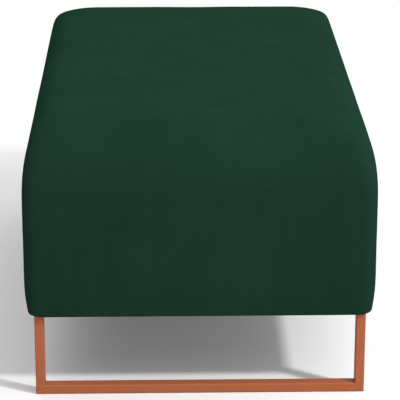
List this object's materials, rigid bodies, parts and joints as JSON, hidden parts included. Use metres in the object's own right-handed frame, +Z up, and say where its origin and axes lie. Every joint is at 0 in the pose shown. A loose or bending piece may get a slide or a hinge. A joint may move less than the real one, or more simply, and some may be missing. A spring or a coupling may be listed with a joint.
{
  "type": "pouf",
  "caption": "Rectangular upholstered pouf: soft crowned suede block over a timber carcass, raised on copper-painted sled legs of rectangular tube at each end.",
  "frame": {"origin": "on the floor, under the middle of the upholstered block", "axes": "+Z up; +Y along the length, so the end that faces -Y is the front; +X across the width, to the right seen from the front"},
  "size_m": [0.55, 0.9, 0.44],
  "materials": {
    "suede": "short-napped dark green suede",
    "non_woven_cloth": "black spunbond, dimpled",
    "foam": "open-cell polyurethane foam",
    "plywood": "raw birch-faced plywood",
    "hardboard": "smooth brown hardboard",
    "pine": "planed raw softwood",
    "copper_paint": "satin copper-coloured powder coat",
    "zinc_steel": "bright zinc plate"
  },
  "bodies": {
    "root": {"cover": "suede", "dust_cover": "non_woven_cloth", "seat_foam": "foam", "border_foam_left": "foam", "border_foam_right": "foam", "border_foam_front": "foam", "border_foam_rear": "foam", "seat_board": "plywood", "side_panel_left": "hardboard", "side_panel_right": "hardboard", "end_panel_front": "hardboard", "end_panel_rear": "hardboard", "base_rail_left": "pine", "base_rail_right": "pine", "base_rail_front": "pine", "base_rail_rear": "pine", "base_cross_rail": "pine", "corner_post_front_left": "pine", "corner_post_front_right": "pine", "corner_post_rear_left": "pine", "corner_post_rear_right": "pine", "top_rail_left": "pine", "top_rail_right": "pine", "top_rail_front": "pine", "top_rail_rear": "pine", "side_stile_left": "pine", "side_stile_right": "pine", "seat_brace": "pine", "front_leg_floor_bar": "copper_paint", "front_leg_left_post": "copper_paint", "front_leg_right_post": "copper_paint", "front_leg_left_plate": "copper_paint", "front_leg_right_plate": "copper_paint", "front_leg_screws": "zinc_steel", "rear_leg_floor_bar": "copper_paint", "rear_leg_left_post": "copper_paint", "rear_leg_right_post": "copper_paint", "rear_leg_left_plate": "copper_paint", "rear_leg_right_plate": "copper_paint", "rear_leg_screws": "zinc_steel"}
  },
  "joints": []
}
